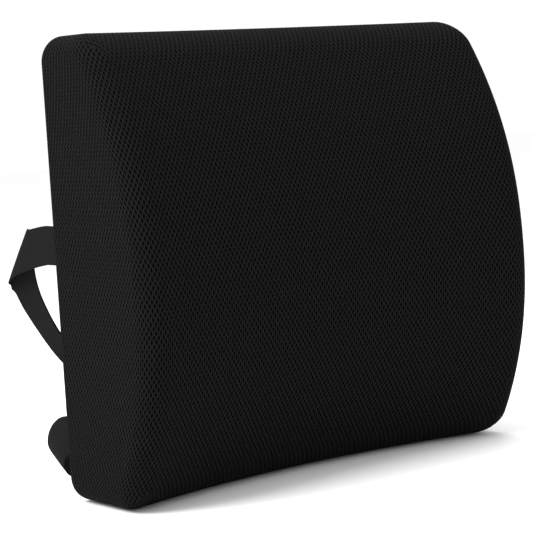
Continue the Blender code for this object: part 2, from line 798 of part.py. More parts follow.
def build_buckle(prefix, route, materials):
    matrix = buckle_matrix(route)
    build_socket(prefix, matrix, materials)
    build_plug(prefix, matrix, materials)
    build_prongs(prefix, matrix, materials)
    build_fold(prefix, "socket_fold", -SOCKET_LENGTH - GAP - FOLD_WALL, matrix, materials)
    plug_bar = PLUG_LENGTH - BAR
    build_fold(prefix, "plug_fold", plug_bar - GAP - FOLD_WALL, matrix, materials)


def main():
    clear_scene()
    materials = make_materials()
    build_foam_core(materials)
    build_inner_liner(materials)
    build_cover_front(materials)
    build_back_panels(materials)
    build_edge_binding(materials)
    build_care_label(materials)
    build_zip_tapes(materials)
    build_zip_teeth(materials)
    build_zip_ends(materials)
    build_zip_slider(materials)
    build_zip_pull(materials)
    for prefix, route in STRAP_ROUTES.items():
        build_strap_webs(prefix, route, materials)
        build_buckle(prefix, route, materials)


main()
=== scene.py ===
"""Looks for the lumbar support cushion: an air-mesh cover, woven back, zip, elastic straps and buckles.

Metres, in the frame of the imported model: the cushion stands on z = 0 with its front towards -Y.
"""

import math

import bmesh
import bpy
import numpy as np
from mathutils import Matrix, Vector, noise


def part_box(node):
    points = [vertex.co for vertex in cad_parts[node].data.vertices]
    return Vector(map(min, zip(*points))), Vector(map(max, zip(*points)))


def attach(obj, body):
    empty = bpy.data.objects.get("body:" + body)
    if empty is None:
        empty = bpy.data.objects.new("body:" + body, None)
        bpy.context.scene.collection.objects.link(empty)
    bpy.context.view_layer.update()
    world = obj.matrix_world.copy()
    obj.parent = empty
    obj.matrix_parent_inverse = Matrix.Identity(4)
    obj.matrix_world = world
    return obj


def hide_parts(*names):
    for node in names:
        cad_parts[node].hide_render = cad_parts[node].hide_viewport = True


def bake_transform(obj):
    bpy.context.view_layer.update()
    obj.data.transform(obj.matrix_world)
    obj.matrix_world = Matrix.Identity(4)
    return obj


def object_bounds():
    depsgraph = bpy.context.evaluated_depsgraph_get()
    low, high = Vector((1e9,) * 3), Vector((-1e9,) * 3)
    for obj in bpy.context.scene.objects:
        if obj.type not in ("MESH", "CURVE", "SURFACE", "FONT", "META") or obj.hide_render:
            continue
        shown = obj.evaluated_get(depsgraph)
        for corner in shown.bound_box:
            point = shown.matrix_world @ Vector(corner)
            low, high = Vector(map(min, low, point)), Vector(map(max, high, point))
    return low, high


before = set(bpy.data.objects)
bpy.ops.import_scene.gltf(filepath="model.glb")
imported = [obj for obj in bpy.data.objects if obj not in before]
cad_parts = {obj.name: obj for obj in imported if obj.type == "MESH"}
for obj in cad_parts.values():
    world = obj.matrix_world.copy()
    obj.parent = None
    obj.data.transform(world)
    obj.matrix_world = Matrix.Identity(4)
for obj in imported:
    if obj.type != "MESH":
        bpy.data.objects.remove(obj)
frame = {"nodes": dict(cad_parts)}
cad_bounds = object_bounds()

# ---------------------------------------------------------------- sizes

TUB_LOW, TUB_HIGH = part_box("cover_front")
HALF_WIDTH = TUB_HIGH.x
HEIGHT = TUB_HIGH.z
BACK_Y = TUB_HIGH.y
CORNER_RADIUS = 0.0185
FRONT_RADIUS = 0.0186
BACK_RADIUS = 0.006

WING_DEPTH_BOTTOM = 0.077
WING_DEPTH_TOP = 0.056
WING_BULGE = 0.0495
WING_BULGE_POWER = 2.2
RECESS_BOTTOM = 0.025
RECESS_TOP = 0.016
NOMINAL_DEPTH = 0.100

COVER_COLUMNS = 120
COVER_ROWS = 108
COVER_DEPTH_ROWS = 24
EDGE_ANGLES = (45, 36, 27, 18, 9)

# The knit's cell has one hole at its corners and one at its middle. HOLE_SHAPE multiplies the distance
# from a hole's middle, across and up: the larger it is, the smaller the hole.
HOLES_ACROSS = 79
HOLES_UP = 51
HOLE_PITCH_ACROSS = 0.0037
HOLE_PITCH_UP = 0.0061
HOLE_SHAPE = (4.4, 4.2, 0.0)

OUT = Vector((0.0, 1.0, 0.0))
UPRIGHT = Vector((0.0, 0.0, 1.0))

BINDING_INSETS = (0.0075, 0.0125)
RING_STEP = 0.004
PANEL_RISE = 0.0015
PANEL_INSET = 0.0056
PANEL_EDGE = 0.0058
PANEL_LINING = -0.0022
PANEL_ROWS = 56
PANEL_COLUMNS = 110
ZIP_Z = 0.112
ZIP_HALF_SLOT = 0.0135
PANEL_SPANS = {
    "lower": (PANEL_EDGE, ZIP_Z - ZIP_HALF_SLOT),
    "upper": (ZIP_Z + ZIP_HALF_SLOT, HEIGHT - PANEL_EDGE),
}

# The zip's coils, and the thin inner edges of its tapes that meet behind them.
COIL_PITCH = 0.0015
COIL_ROOT = 0.0031
COIL_TIP = -0.0011
COIL_CORD = 0.0029
COIL_BULGES = (0.85, 0.8, 0.8, 1.0, 1.15, 0.7)
HIDDEN_EDGE = 0.0020
HIDDEN_EDGE_DEPTH = -0.00290
HIDDEN_EDGE_END = 0.160

STRAP_WIDTH = 0.028
WEB_THICKNESS = 0.0015
TAIL_OFFSET = 0.0025
TAIL_END = 0.108
MIDDLE_START = 0.100
PLUG_FOLD = 0.0227
SOCKET_FOLD = 0.0362
FOLD_SPANS = {"socket": (-0.0351, -0.0299), "plug": (0.0165, 0.0217)}
KEEPER_SPAN = (0.0945, 0.0855)

# Half of each strap, from its root at the back seam to the buckle in the middle: distance from the
# middle, distance behind the back, height, and how many degrees the line across the web leans back.
STRAP_ROUTES = {
    "upper": (
        (0.1760, 0.0160, 0.1830, 0.0),
        (0.1760, 0.0265, 0.1816, -8.0),
        (0.1760, 0.0375, 0.1796, -20.0),
        (0.1760, 0.0485, 0.1772, -32.0),
        (0.1752, 0.0565, 0.1750, -38.0),
        (0.1726, 0.0622, 0.1720, -40.0),
        (0.1692, 0.0652, 0.1680, -41.0),
        (0.1670, 0.0667, 0.1622, -45.0),
        (0.1656, 0.0672, 0.1552, -51.0),
        (0.1642, 0.0668, 0.1475, -59.0),
        (0.1622, 0.0655, 0.1393, -68.0),
        (0.1590, 0.0636, 0.1303, -77.0),
        (0.1546, 0.0618, 0.1204, -83.0),
        (0.1484, 0.0610, 0.1100, -84.0),
        (0.1395, 0.0622, 0.0997, -78.0),
        (0.1270, 0.0655, 0.0900, -67.0),
        (0.1110, 0.0700, 0.0816, -55.0),
        (0.0930, 0.0742, 0.0752, -44.0),
        (0.0750, 0.0765, 0.0713, -36.0),
        (0.0580, 0.0770, 0.0700, -31.0),
        (0.0350, 0.0770, 0.0698, -30.0),
        (0.0000, 0.0770, 0.0698, -30.0),
    ),
    "lower": (
        (0.1760, 0.0050, 0.0470, 0.0),
        (0.1760, 0.0098, 0.0458, 7.0),
        (0.1760, 0.0150, 0.0430, 18.0),
        (0.1760, 0.0196, 0.0389, 31.0),
        (0.1754, 0.0232, 0.0339, 43.0),
        (0.1738, 0.0257, 0.0287, 52.0),
        (0.1707, 0.0272, 0.0242, 57.0),
        (0.1660, 0.0282, 0.0209, 59.0),
        (0.1595, 0.0293, 0.0186, 60.0),
        (0.1495, 0.0308, 0.0169, 61.0),
        (0.1355, 0.0331, 0.0151, 64.0),
        (0.1180, 0.0357, 0.0135, 68.0),
        (0.1000, 0.0380, 0.0123, 72.0),
        (0.0820, 0.0394, 0.0117, 74.0),
        (0.0580, 0.0400, 0.0115, 75.0),
        (0.0350, 0.0400, 0.0115, 75.0),
        (0.0000, 0.0400, 0.0115, 75.0),
    ),
}
ROUTE_STEPS = 7
STUB_STEPS = 6
FOLD_SMOOTHING = 12

# ---------------------------------------------------------------- materials


class Finish:
    """A Principled material, with short names for the nodes that feed it."""

    def __init__(self, name, roughness, specular=0.5):
        self.material = bpy.data.materials.new(name)
        self.material.use_nodes = True
        self.nodes, self.links = self.material.node_tree.nodes, self.material.node_tree.links
        self.shader = self.nodes["Principled BSDF"]
        self.set("Roughness", roughness)
        self.set("Specular IOR Level", specular)

    def feed(self, socket, value):
        """Give a socket a constant, a colour without its alpha, or another node's output."""
        if isinstance(value, bpy.types.NodeSocket):
            self.links.new(value, socket)
        elif socket.type == "RGBA":
            socket.default_value = (*value, 1.0)
        else:
            socket.default_value = value

    def set(self, name, value):
        self.feed(self.shader.inputs[name], value)

    def operate(self, kind, operation, values):
        node = self.nodes.new(kind)
        node.operation = operation
        for socket, value in zip(node.inputs, values):
            self.feed(socket, value)
        return node.outputs

    def math(self, operation, *values):
        return self.operate("ShaderNodeMath", operation, values)[0]

    def vector(self, operation, *values):
        outputs = self.operate("ShaderNodeVectorMath", operation, values)
        return outputs["Value" if operation == "LENGTH" else "Vector"]

    def split(self, vector):
        node = self.nodes.new("ShaderNodeSeparateXYZ")
        self.feed(node.inputs["Vector"], vector)
        return node.outputs["X"], node.outputs["Y"]

    def ramp(self, value, low, high, to_low=0.0, to_high=1.0):
        """A smooth step from one value to another."""
        node = self.nodes.new("ShaderNodeMapRange")
        node.interpolation_type = "SMOOTHSTEP"
        names = ("Value", "From Min", "From Max", "To Min", "To Max")
        for name, entry in zip(names, (value, low, high, to_low, to_high)):
            self.feed(node.inputs[name], entry)
        return node.outputs["Result"]

    def mix(self, factor, first, second):
        node = self.nodes.new("ShaderNodeMix")
        node.data_type = "RGBA"
        self.feed(node.inputs["Factor"], factor)
        for name, value in (("A", first), ("B", second)):
            self.feed([s for s in node.inputs if s.name == name and s.type == "RGBA"][0], value)
        return [s for s in node.outputs if s.type == "RGBA"][0]

    def woven_place(self):
        """Position in the cloth, along and across its yarns."""
        return self.nodes.new("ShaderNodeUVMap").outputs["UV"]

    def solid_place(self):
        """Position in the object's own metres."""
        return self.nodes.new("ShaderNodeTexCoord").outputs["Object"]

    def noise(self, scale, detail=2.0):
        node = self.nodes.new("ShaderNodeTexNoise")
        node.inputs["Scale"].default_value = scale
        node.inputs["Detail"].default_value = detail
        self.feed(node.inputs["Vector"], self.solid_place())
        return node.outputs["Fac"]

    def bump(self, height, strength, distance):
        node = self.nodes.new("ShaderNodeBump")
        node.inputs["Strength"].default_value = strength
        node.inputs["Distance"].default_value = distance
        self.feed(node.inputs["Height"], height)
        self.set("Normal", node.outputs["Normal"])


def air_mesh_material():
    """3-D spacer knit: staggered round holes between black yarns that run in upright wales. Its colour
    holds painted shade in the holes and painted highlights on the yarn crowns and wale ridges.
    """
    knit = Finish("air_mesh_knit", 0.70, 0.012)
    place = knit.woven_place()
    fuzz = knit.noise(1100.0)
    holes = []
    for shift in (0.0, 0.5):
        moved = knit.vector("ADD", place, (shift, shift, 0.0))
        wrapped = knit.vector("FRACTION", moved)
        centred = knit.vector("SUBTRACT", wrapped, (0.5, 0.5, 0.0))
        holes.append(knit.vector("LENGTH", knit.vector("MULTIPLY", centred, HOLE_SHAPE)))
    nearest = knit.math("MINIMUM", *holes)
    ragged = knit.math("ADD", nearest, knit.math("MULTIPLY", knit.math("SUBTRACT", fuzz, 0.5), 0.40))
    yarn = knit.ramp(ragged, 0.70, 1.20)
    # Painted highlight: the yarn crowns away from the holes and the wale ridges are painted lighter; the
    # same mask also raises the bump.
    crown = knit.ramp(ragged, 0.9, 1.7)
    turns, _ = knit.split(knit.vector("MULTIPLY", place, (4 * math.pi, 0.0, 0.0)))
    wale = knit.ramp(knit.math("COSINE", turns), 1.0, -1.0)
    lit = knit.math("ADD", knit.math("MULTIPLY", crown, 0.40), knit.math("MULTIPLY", wale, 0.60))
    patches = knit.noise(30.0, 3.0)
    # A shaded and a highlighted copy of the yarn colour, each with random tone: painted shade and
    # painted highlight.
    shaded_yarn = knit.mix(patches, (0.0024, 0.0025, 0.0027), (0.0036, 0.0037, 0.0040))
    highlighted_yarn = knit.mix(fuzz, (0.0056, 0.0058, 0.0062), (0.0165, 0.0170, 0.0182))
    lit_yarn = knit.mix(lit, shaded_yarn, highlighted_yarn)
    # The holes are painted nearly black: painted shade inside them.
    knit.set("Base Color", knit.mix(yarn, (0.0009, 0.0009, 0.0010), lit_yarn))
    relief = knit.math("ADD", yarn, knit.math("MULTIPLY", lit, 0.6))
    knit.bump(knit.math("ADD", relief, knit.math("MULTIPLY", fuzz, 0.3)), 0.9, 0.0007)
    return knit.material


def woven_material(name, dark, light, rib, pick, rib_share=0.5, relief=0.5, roughness=0.75, sheen=0.0):
    """Woven cloth: ribs along the first coordinate, `rib` mm apart, crossed by picks `pick` mm apart.
    Its colour goes from `dark` in the low places of the weave to `light` on its crowns: painted shade
    and painted highlight, with random speckle and patches.
    """
    cloth = Finish(name, roughness, 0.02)
    cloth.set("Sheen Weight", sheen)
    cloth.set("Sheen Roughness", 0.45)
    along, across = cloth.split(
        cloth.vector("MULTIPLY", cloth.woven_place(), (math.pi / pick, math.pi / rib, 0.0))
    )
    picks, ribs = cloth.math("COSINE", along), cloth.math("COSINE", across)
    over = cloth.ramp(cloth.math("MULTIPLY", picks, ribs), -0.8, 0.8)
    fuzz = cloth.noise(1600.0)
    patches = cloth.noise(45.0, 3.0)
    share = cloth.math("MULTIPLY", cloth.math("ABSOLUTE", ribs), rib_share)
    weave = cloth.math("ADD", share, cloth.math("MULTIPLY", over, 1.0 - rib_share))
    speckled = cloth.math("ADD", weave, cloth.math("MULTIPLY", fuzz, 0.55))
    # Painted shade in the low places of the weave and painted highlight on its crowns, with random
    # speckle from the fuzz.
    yarn = cloth.mix(cloth.ramp(speckled, 0.15, 1.35), dark, light)
    worn = tuple(channel * 0.72 for channel in light)
    cloth.set("Base Color", cloth.mix(cloth.ramp(patches, 0.35, 0.75, 0.0, 0.35), yarn, worn))
    cloth.bump(cloth.math("ADD", weave, cloth.math("MULTIPLY", fuzz, 0.5)), relief, 0.0004)
    return cloth.material


def moulded_material(name, colour, roughness, grain=900.0, coat=0.0):
    """Moulded plastic or enamelled metal: fine grain, faint flow marks and uneven gloss."""
    moulded = Finish(name, roughness, 0.42)
    moulded.set("Coat Weight", coat)
    moulded.set("Coat Roughness", 0.2)
    fine, broad = moulded.noise(grain, 3.0), moulded.noise(130.0)
    lighter = tuple(channel * 1.5 + 0.002 for channel in colour)
    moulded.set("Base Color", moulded.mix(moulded.ramp(broad, 0.3, 0.7, 0.0, 0.5), colour, lighter))
    moulded.set("Roughness", moulded.ramp(broad, 0.3, 0.7, roughness - 0.05, roughness + 0.07))
    moulded.bump(fine, 0.25, 0.0001)
    return moulded.material


def foam_material():
    """Open-cell foam, cream and porous, with painted shade in its pores."""
    foam = Finish("memory_foam", 0.9, 0.1)
    cells = foam.nodes.new("ShaderNodeTexVoronoi")
    cells.inputs["Scale"].default_value = 900.0
    foam.feed(cells.inputs["Vector"], foam.solid_place())
    shaded_pores = foam.ramp(cells.outputs["Distance"], 0.05, 0.55)
    cream = foam.mix(foam.noise(14.0, 3.0), (0.80, 0.74, 0.60), (0.88, 0.84, 0.74))
    # The pores are painted darker: painted shade inside them.
    foam.set("Base Color", foam.mix(shaded_pores, cream, (0.52, 0.47, 0.36)))
    foam.bump(shaded_pores, 0.5, -0.0004)
    return foam.material


# ---------------------------------------------------------------- mesh helpers


def add_object(name, data):
    """An object in the scene: a piece, the camera or a light."""
    made = bpy.data.objects.new(name, data)
    bpy.context.scene.collection.objects.link(made)
    return made


def add_piece(name, mesh, material, smooth=True):
    """An object with this mesh and one material."""
    mesh.materials.clear()
    mesh.materials.append(material)
    mesh.polygons.foreach_set("use_smooth", [smooth] * len(mesh.polygons))
    mesh.update()
    return add_object(name, mesh)


def reshape(mesh, change):
    """Change a mesh through a function of its bmesh."""
    bm = bmesh.new()
    bm.from_mesh(mesh)
    change(bm)
    bm.to_mesh(mesh)
    bm.free()


def add_mesh(name, vertices, faces, material, uvs=None, smooth=True):
    mesh = bpy.data.meshes.new(name)
    mesh.from_pydata([tuple(v) for v in vertices], [], faces)
    if uvs is not None:
        layer = mesh.uv_layers.new(name="weave")
        flat = np.array(uvs, dtype=np.float32).reshape(-1)
        layer.data.foreach_set("uv", flat)
    return add_piece(name, mesh, material, smooth)


def face_outwards(piece, weld=0.0):
    """Turn every face outwards, after joining the points that lie closer than `weld`."""

    def turn(bm):
        if weld:
            bmesh.ops.remove_doubles(bm, verts=bm.verts, dist=weld)
        bmesh.ops.recalc_face_normals(bm, faces=bm.faces)

    reshape(piece.data, turn)


def from_cad(node, name, material, shape):
    """A piece made from the CAD node's own mesh, reshaped by a function of its bmesh."""
    mesh = bpy.data.objects[node].data.copy()
    mesh.name = name
    reshape(mesh, lambda bm: bmesh.ops.remove_doubles(bm, verts=bm.verts, dist=2e-6))
    reshape(mesh, shape)
    return add_piece(name, mesh, material)


def settle(piece, body, slot, *nodes):
    """The piece moves with a body and hides these CAD nodes, which it replaces; `slot` is not used."""
    if nodes:
        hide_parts(*nodes)
    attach(piece, body)


# ---------------------------------------------------------------- cushion cover


def cushion_depth(x, z):
    """Depth of the cushion from its back plane: D-shaped upright, hollowed between the two wings."""
    up = np.clip(z / HEIGHT, 0.0, 1.0)
    across = np.clip(np.abs(x) / HALF_WIDTH, 0.0, 1.0)
    wing = WING_DEPTH_BOTTOM + (WING_DEPTH_TOP - WING_DEPTH_BOTTOM) * up
    wing = wing + WING_BULGE * (1.0 - np.abs(2.0 * up - 1.0) ** WING_BULGE_POWER)
    recess = RECESS_BOTTOM + (RECESS_TOP - RECESS_BOTTOM) * up
    return wing - recess * (1.0 - across * across)


ARC_HEIGHTS = np.linspace(0.0, HEIGHT, 400)
ARC_DEPTHS = cushion_depth(HALF_WIDTH * 0.6, ARC_HEIGHTS)
ARC_STEPS = np.hypot(np.diff(ARC_HEIGHTS), np.diff(ARC_DEPTHS))
ARC_LENGTHS = np.concatenate([[0.0], np.cumsum(ARC_STEPS)])


def front_arc(z):
    """Length along an upright line on the wing, from the floor up to height z."""
    return np.interp(z, ARC_HEIGHTS, ARC_LENGTHS)


def box_directions(points):
    """Nearest points of the rounded box's core, and unit directions outwards, in (across, up, depth)."""
    low = np.array([CORNER_RADIUS - HALF_WIDTH, CORNER_RADIUS, BACK_RADIUS])
    high = np.array([HALF_WIDTH - CORNER_RADIUS, HEIGHT - CORNER_RADIUS, NOMINAL_DEPTH - FRONT_RADIUS])
    core = np.clip(points, low, high)
    front = points[..., 2] > NOMINAL_DEPTH / 2
    away = points - core
    away[..., :2] /= CORNER_RADIUS
    away[..., 2] /= np.where(front, FRONT_RADIUS, BACK_RADIUS)
    return core, away / np.linalg.norm(away, axis=-1, keepdims=True), front


def cover_surface(points):
    """Points of the cover's outer skin, from points on the nominal box."""
    core, out, front = box_directions(points)
    side = np.hypot(out[..., 0], out[..., 1])
    back_reach = CORNER_RADIUS - BACK_RADIUS + BACK_RADIUS * side
    reach = np.where(front, CORNER_RADIUS, back_reach / np.maximum(side, 1e-9))
    x = core[..., 0] + out[..., 0] * reach
    z = core[..., 1] + out[..., 1] * reach
    share = (core[..., 2] - BACK_RADIUS) / (NOMINAL_DEPTH - FRONT_RADIUS - BACK_RADIUS)
    straight = (cushion_depth(x, z) - FRONT_RADIUS - BACK_RADIUS) * share
    radius = np.where(front, FRONT_RADIUS, BACK_RADIUS)
    y = BACK_Y - (BACK_RADIUS + straight + radius * out[..., 2])
    return np.stack([x, y, z], axis=-1)


def knit_coordinates(points):
    """Position in the knit, in hole pitches, as reached round the sides and as reached over the top.

    It runs on from the front round each side and over the top and the underside without a break.
    """
    core, out, front = box_directions(points)
    surface = cover_surface(points)
    across = (core[..., 0] / (HALF_WIDTH - CORNER_RADIUS) + 1.0) * HOLES_ACROSS / 2
    arc_low, arc_high = front_arc(CORNER_RADIUS), front_arc(HEIGHT - CORNER_RADIUS)
    up = (front_arc(core[..., 1]) - arc_low) / (arc_high - arc_low) * HOLES_UP
    angle = np.arccos(np.clip(out[..., 2], -1.0, 1.0))
    full_depth = cushion_depth(surface[..., 0], surface[..., 2])
    fillet_end = FRONT_RADIUS * math.pi / 2
    on_side = fillet_end + full_depth - FRONT_RADIUS - (BACK_Y - surface[..., 1])
    on_back = fillet_end + full_depth - FRONT_RADIUS - BACK_RADIUS + BACK_RADIUS * (angle - math.pi / 2)
    level = np.abs(out[..., 2]) < 1e-6
    wrap = np.where(level, on_side, np.where(front, FRONT_RADIUS * angle, on_back))
    turn = CORNER_RADIUS * np.sin(angle)
    outline = np.hypot(out[..., 0], out[..., 1]) > 1e-9
    aside, aloft = np.maximum(np.abs(out[..., :2]), 1e-12).transpose(2, 0, 1)
    swing_up = np.where(outline, np.arctan2(out[..., 1], aside), 0.0)
    swing_across = np.where(outline, np.arctan2(out[..., 0], aloft), 0.0)
    side_across = across + np.sign(out[..., 0]) * wrap / HOLE_PITCH_ACROSS
    round_sides = np.stack([side_across, up + turn * swing_up / HOLE_PITCH_UP], axis=-1)
    top_up = up + np.sign(out[..., 1]) * wrap / HOLE_PITCH_UP
    over_top = np.stack([across + turn * swing_across / HOLE_PITCH_ACROSS, top_up], axis=-1)
    return round_sides, over_top


def edge_spaced(low, high, radius_low, radius_high, count):
    """Values from low to high, even along the run, and even in angle round the fillet at each end."""
    angles = np.radians(EDGE_ANGLES)
    low_turn = low + radius_low * (1.0 - np.tan(angles))
    high_turn = high - radius_high * (1.0 - np.tan(angles[::-1]))
    run = np.linspace(low + radius_low, high - radius_high, count)
    return np.concatenate([low_turn, run, high_turn])


def build_cover():
    """The tub of air mesh: front, sides, top and underside in one skin that turns in under the seam."""
    xs = edge_spaced(-HALF_WIDTH, HALF_WIDTH, CORNER_RADIUS, CORNER_RADIUS, COVER_COLUMNS)
    zs = edge_spaced(0.0, HEIGHT, CORNER_RADIUS, CORNER_RADIUS, COVER_ROWS)
    ts = edge_spaced(0.0, NOMINAL_DEPTH, BACK_RADIUS, FRONT_RADIUS, COVER_DEPTH_ROWS)
    patches = (
        (xs, zs, lambda a, b: (a, b, NOMINAL_DEPTH + 0 * a)),
        (ts, zs, lambda a, b: (0 * a - HALF_WIDTH, b, a)),
        (zs, ts, lambda a, b: (0 * a + HALF_WIDTH, a, b)),
        (ts, xs, lambda a, b: (b, HEIGHT + 0 * a, a)),
        (xs, ts, lambda a, b: (a, 0 * a, b)),
        (xs, zs, lambda a, b: (a, b, 0 * a)),
    )
    turned_in = len(EDGE_ANGLES)
    vertices, faces, uvs = [], [], []
    for number, (firsts, seconds, place) in enumerate(patches):
        points = np.stack(place(*np.meshgrid(firsts, seconds, indexing="ij")), axis=-1)
        start = len(vertices)
        vertices.extend(cover_surface(points).reshape(-1, 3))
        round_sides, over_top = knit_coordinates(points)
        columns = len(seconds)
        corners = ((0, 0), (1, 0), (1, 1), (0, 1))
        last_i, last_j = len(firsts) - 1, columns - 1
        middle = sum(points[i : last_i + i, j : last_j + j] for i, j in corners) / 4
        _, out, _ = box_directions(middle)
        from_sides = np.abs(out[..., 0]) >= np.abs(out[..., 1])
        rim_only = number == len(patches) - 1
        for i in range(last_i):
            for j in range(last_j):
                if rim_only and min(i, j, last_i - 1 - i, last_j - 1 - j) >= turned_in:
                    continue
                faces.append([start + (i + di) * columns + j + dj for di, dj in corners])
                chart = round_sides if from_sides[i, j] else over_top
                uvs.extend(chart[i + di, j + dj] for di, dj in corners)
    cover = add_mesh("mesh_cover", vertices, faces, air_mesh_material(), uvs)
    face_outwards(cover, weld=1e-6)
    return cover


# ---------------------------------------------------------------- sweeps and stitches


# How far along a stitch, how thick the thread is there, and how high it lies, in shares of its radius.
STITCH_STATIONS = (
    (0.0, 0.25, -1.0),
    (0.12, 0.8, -0.2),
    (0.5, 1.0, 0.25),
    (0.88, 0.8, -0.2),
    (1.0, 0.25, -1.0),
)


def level_frames(low, high, count, y, z):
    """Frames along X at one height, for a band that lies flat on the back."""
    return [(Vector((low + (high - low) * i / count, y, z)), UPRIGHT, OUT) for i in range(count + 1)]


def rounded_loop(half_a, half_b, radius):
    """Points (a, b) round a rectangle with rounded corners, each with the direction outwards there."""
    loop = []
    for side_a, side_b, first in ((1, 1, 0), (-1, 1, 90), (-1, -1, 180), (1, -1, 270)):
        for turn in (0, 22.5, 45, 67.5, 90):
            angle = math.radians(first + turn)
            out_a, out_b = math.cos(angle), math.sin(angle)
            a = side_a * (half_a - radius) + radius * out_a
            loop.append((a, side_b * (half_b - radius) + radius * out_b, out_a, out_b))
    return loop


def web_profile(half_width, thickness, cup=0.0, columns=12):
    """Cross-section of a flat web with rounded edges, as (across, outwards) points in a loop."""
    half = thickness / 2
    straight = half_width - half
    across = [straight * (1.0 - 2.0 * i / columns) for i in range(columns + 1)]
    bow = [cup * (1.0 - (a / half_width) ** 2) for a in across]
    edge = [math.radians(angle) for angle in (60, 30, 0, -30, -60)]
    loop = [(a, half + b) for a, b in zip(across, bow)]
    loop += [(-straight - half * math.cos(t), half * math.sin(t) + bow[-1]) for t in edge]
    loop += [(a, b - half) for a, b in zip(reversed(across), reversed(bow))]
    loop += [(straight + half * math.cos(t), -half * math.sin(t) + bow[0]) for t in edge]
    return loop


class Builder:
    """Gathers swept strips and closed shapes into one mesh with woven coordinates in millimetres."""

    def __init__(self):
        self.vertices, self.faces, self.uvs = [], [], []

    def sweep(self, frames, profile, shift=0.0, closed=False):
        """Sweep a profile along frames of (centre, across, outwards)."""
        count, first = len(profile), len(self.vertices)
        lengths = [0.0]
        for before, after in zip(frames, frames[1:]):
            lengths.append(lengths[-1] + (after[0] - before[0]).length * 1000.0)
        rim = [0.0]
        for (a0, n0), (a1, n1) in zip(profile, profile[1:] + profile[:1]):
            rim.append(rim[-1] + math.hypot(a1 - a0, n1 - n0) * 1000.0)
        for centre, across, outwards in frames:
            self.vertices.extend(centre + across * a + outwards * (n + shift) for a, n in profile)
        rings = len(frames)
        for ring in range(rings if closed else rings - 1):
            after = (ring + 1) % rings
            end = lengths[ring + 1] if ring + 1 < rings else lengths[-1] + 1.0
            for i in range(count):
                j = (i + 1) % count
                quad = ((ring, i), (ring, j), (after, j), (after, i))
                self.faces.append([first + r * count + c for r, c in quad])
                sides = ((lengths[ring], rim[i]), (lengths[ring], rim[i + 1]))
                self.uvs.extend([*sides, (end, rim[i + 1]), (end, rim[i])])
        if not closed:
            for ring, order in ((0, range(count)), (rings - 1, reversed(range(count)))):
                self.faces.append([first + ring * count + i for i in order])
                self.uvs.extend([(lengths[ring], rim[i]) for i in range(count)])

    def stitch(self, start, end, normal, radius):
        """One stitch: a short thread that dips into the cloth at both ends."""
        along = end - start
        side = along.cross(normal).normalized()
        first = len(self.vertices)
        for t, width, lift in STITCH_STATIONS:
            middle = start + along * t + normal * radius * lift
            half = radius * width
            for angle in (math.tau * k / 6 for k in range(6)):
                edge = middle + side * (half * math.cos(angle)) + normal * (half * math.sin(angle))
                self.vertices.append(edge)
        last = len(STITCH_STATIONS) - 1
        for ring in range(last):
            for k in range(6):
                quad = [(ring, k), (ring, (k + 1) % 6), (ring + 1, (k + 1) % 6), (ring + 1, k)]
                self.faces.append([first + r * 6 + c for r, c in quad])
                self.uvs.extend([(r * 0.5, c * 0.3) for r, c in quad])
        for ring in (0, last):
            self.faces.append([first + ring * 6 + k for k in range(6)])
            self.uvs.extend([(0.0, 0.0)] * 6)

    def stitch_line(self, points, normals, pitch=0.0030, length=0.0024, radius=0.00028):
        """A row of stitches along a run of points."""
        distances = [0.0]
        for before, after in zip(points, points[1:]):
            distances.append(distances[-1] + (after - before).length)

        def place(distance):
            i = int(np.searchsorted(distances, distance, side="right")) - 1
            i = min(max(i, 0), len(points) - 2)
            t = (distance - distances[i]) / max(distances[i + 1] - distances[i], 1e-9)
            return points[i].lerp(points[i + 1], t), normals[i].lerp(normals[i + 1], t).normalized()

        count = max(int(distances[-1] / pitch), 1)
        for k in range(count):
            here = (k + 0.5) * distances[-1] / count
            start, normal = place(here - length / 2)
            end, _ = place(here + length / 2)
            self.stitch(start, end, normal, radius)

    def make(self, name, material):
        piece = add_mesh(name, self.vertices, self.faces, material, self.uvs)
        face_outwards(piece)
        return piece


# ---------------------------------------------------------------- back of the cover


def outline_half(z, inset):
    """Half the width of the cushion's rounded outline at a height, moved inwards."""
    radius = max(CORNER_RADIUS - inset, 0.003)
    near = min(z - inset, HEIGHT - inset - z)
    drop = radius - min(max(near, 0.0), radius)
    return HALF_WIDTH - inset - radius + math.sqrt(max(radius * radius - drop * drop, 0.0))


def panel_rise(x, z, level):
    """How far the back cloth stands out: flat at its seams, full in the middle, a little uneven."""
    low, high = PANEL_SPANS[level]
    from_ends = min(z - low, high - z)
    reach = max(min(HALF_WIDTH - 0.006 - abs(x), from_ends), 0.0)
    full = min(reach / 0.016, 1.0)
    full = full * full * (3.0 - 2.0 * full)
    soft = noise.noise(Vector((x * 13.0, 3.7, z * 13.0))) * 0.5
    drag = noise.noise(Vector((x * 70.0, z * 9.0, 1.3))) if from_ends < 0.05 else 0.0
    phase = x * 640.0 + 2.2 * noise.noise(Vector((x * 30.0, 0.0, low * 9.0)))
    pull = math.sin(phase) * 0.00022 * math.exp(-reach / 0.010)
    side_pull = math.sin(z * 600.0) * 0.00016 * math.exp(-(HALF_WIDTH - 0.014 - abs(x)) / 0.008)
    waves = (0.00042 * soft + 0.00018 * drag) * full
    return 0.0001 + (PANEL_RISE - 0.0002) * full + waves + (pull + side_pull) * min(reach / 0.004, 1.0)


